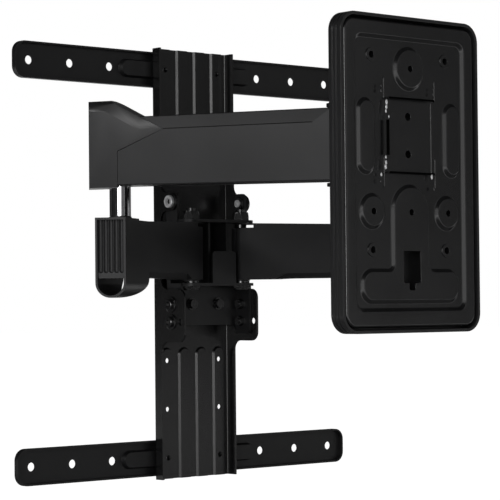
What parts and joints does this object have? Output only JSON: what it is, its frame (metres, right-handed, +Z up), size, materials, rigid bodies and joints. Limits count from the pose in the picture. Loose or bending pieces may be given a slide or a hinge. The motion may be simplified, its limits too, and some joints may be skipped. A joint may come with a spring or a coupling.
{
  "type": "television wall mount",
  "caption": "Full-motion television wall mount: channel and stud straps, paired folding arms on polished elbow shafts, and a tilting plate in a shallow tray.",
  "frame": {"origin": "centre of the wall bolt pattern, on the wall's surface", "axes": "+Z up, +X to the right seen from the room, +Y into the wall"},
  "size_m": [0.4751, 0.4221, 0.45],
  "materials": {
    "strap_paint": "black satin powder coat",
    "channel_paint": "black satin powder coat",
    "bracket_paint": "black satin powder coat",
    "plate_paint": "black fine-textured powder coat",
    "tube_paint": "black powder coat",
    "rear_cover_plastic": "black moulded, fine grain",
    "fore_cover_plastic": "black moulded, fine grain",
    "cap_plastic": "black moulded, fine grain",
    "tray_plastic": "black moulded, satin",
    "bushing_plastic": "dark self-lubricating plastic",
    "shaft_chrome": "polished",
    "bright_bolt": "zinc plated",
    "dark_bolt": "black oxide",
    "dark_washer": "black oxide"
  },
  "bodies": {
    "wall_plate": {"top_strap": "strap_paint", "bottom_strap": "strap_paint", "wall_channel": "channel_paint", "hinge_bracket": "bracket_paint", "bracket_pivot_bolts": "bright_bolt", "bracket_pivot_nuts": "dark_bolt", "bracket_lock_bolts": "dark_bolt", "bracket_lock_nuts": "dark_bolt", "bracket_lock_washers": "dark_washer", "level_set_screws": "dark_bolt", "wall_hinge_bolts": "dark_bolt", "wall_hinge_nuts": "dark_bolt", "wall_hinge_washers": "dark_washer"},
    "left_rear_arm": {"left_rear_arm_tube": "tube_paint", "left_rear_arm_cover": "rear_cover_plastic", "left_rear_hinge_bushings": "bushing_plastic", "left_rear_elbow_bushings": "bushing_plastic"},
    "left_elbow": {"left_elbow_shaft": "shaft_chrome", "left_elbow_washers": "dark_washer", "left_elbow_screws": "dark_bolt"},
    "left_forearm": {"left_forearm_tube": "tube_paint", "left_forearm_cover": "fore_cover_plastic", "left_elbow_cap": "cap_plastic", "left_forearm_elbow_bushings": "bushing_plastic", "left_forearm_head_bushings": "bushing_plastic"},
    "head": {"head_yoke": "bracket_paint", "head_hinge_bolts": "dark_bolt", "head_hinge_nuts": "dark_bolt", "head_hinge_washers": "dark_washer", "tilt_bolts": "dark_bolt", "tilt_nuts": "dark_bolt", "tilt_washers": "dark_washer"},
    "tv_head": {"tilt_bracket": "bracket_paint", "head_tray": "tray_plastic", "tv_plate": "plate_paint"},
    "right_rear_arm": {"right_rear_arm_tube": "tube_paint", "right_rear_arm_cover": "rear_cover_plastic", "right_rear_hinge_bushings": "bushing_plastic", "right_rear_elbow_bushings": "bushing_plastic"},
    "right_elbow": {"right_elbow_shaft": "shaft_chrome", "right_elbow_washers": "dark_washer", "right_elbow_screws": "dark_bolt"},
    "right_forearm": {"right_forearm_tube": "tube_paint", "right_forearm_cover": "fore_cover_plastic", "right_elbow_cap": "cap_plastic", "right_forearm_elbow_bushings": "bushing_plastic", "right_forearm_head_bushings": "bushing_plastic"}
  },
  "joints": [
    {"name": "left_arm_swing", "type": "hinge", "parent": "wall_plate", "child": "left_rear_arm", "pos_m": [-0.034, -0.05, 0.01], "axis": [0, 0, 1], "range_deg": [-29.8, 57.2]},
    {"name": "left_elbow_turn", "type": "hinge", "parent": "left_rear_arm", "child": "left_elbow", "pos_m": [-0.21893, -0.16918, 0.05], "axis": [0, 0, 1], "range_deg": [-57.2, 29.8]},
    {"name": "left_forearm_swing", "type": "hinge", "parent": "left_elbow", "child": "left_forearm", "pos_m": [-0.21893, -0.16918, 0.098], "axis": [0, 0, 1], "range_deg": [-25.9, 61.1]},
    {"name": "head_turn", "type": "hinge", "parent": "left_forearm", "child": "head", "pos_m": [-0.12283, -0.36708, 0.098], "axis": [0, 0, 1], "range_deg": [-61.1, 25.9]},
    {"name": "head_tilt", "type": "hinge", "parent": "head", "child": "tv_head", "pos_m": [-0.08883, -0.40008, 0.107], "axis": [1, 0, 0], "range_deg": [-5, 15]},
    {"name": "right_arm_swing", "type": "hinge", "parent": "wall_plate", "child": "right_rear_arm", "pos_m": [0.034, -0.05, 0.01], "axis": [0, 0, 1], "range_deg": [-25.9, 61.1]},
    {"name": "right_elbow_turn", "type": "hinge", "parent": "right_rear_arm", "child": "right_elbow", "pos_m": [0.1301, -0.2479, 0.05], "axis": [0, 0, 1], "range_deg": [-61.1, 25.9]},
    {"name": "right_forearm_swing", "type": "hinge", "parent": "right_elbow", "child": "right_forearm", "pos_m": [0.1301, -0.2479, 0.098], "axis": [0, 0, 1], "range_deg": [-29.8, 57.2]}
  ],
  "couplings": [
    {"joint": "left_elbow_turn", "follows": "left_arm_swing", "ratio": -1},
    {"joint": "right_forearm_swing", "follows": "left_arm_swing", "ratio": 1},
    {"joint": "head_turn", "follows": "right_arm_swing", "ratio": -1},
    {"joint": "left_forearm_swing", "follows": "right_arm_swing", "ratio": 1},
    {"joint": "right_elbow_turn", "follows": "right_arm_swing", "ratio": -1}
  ]
}
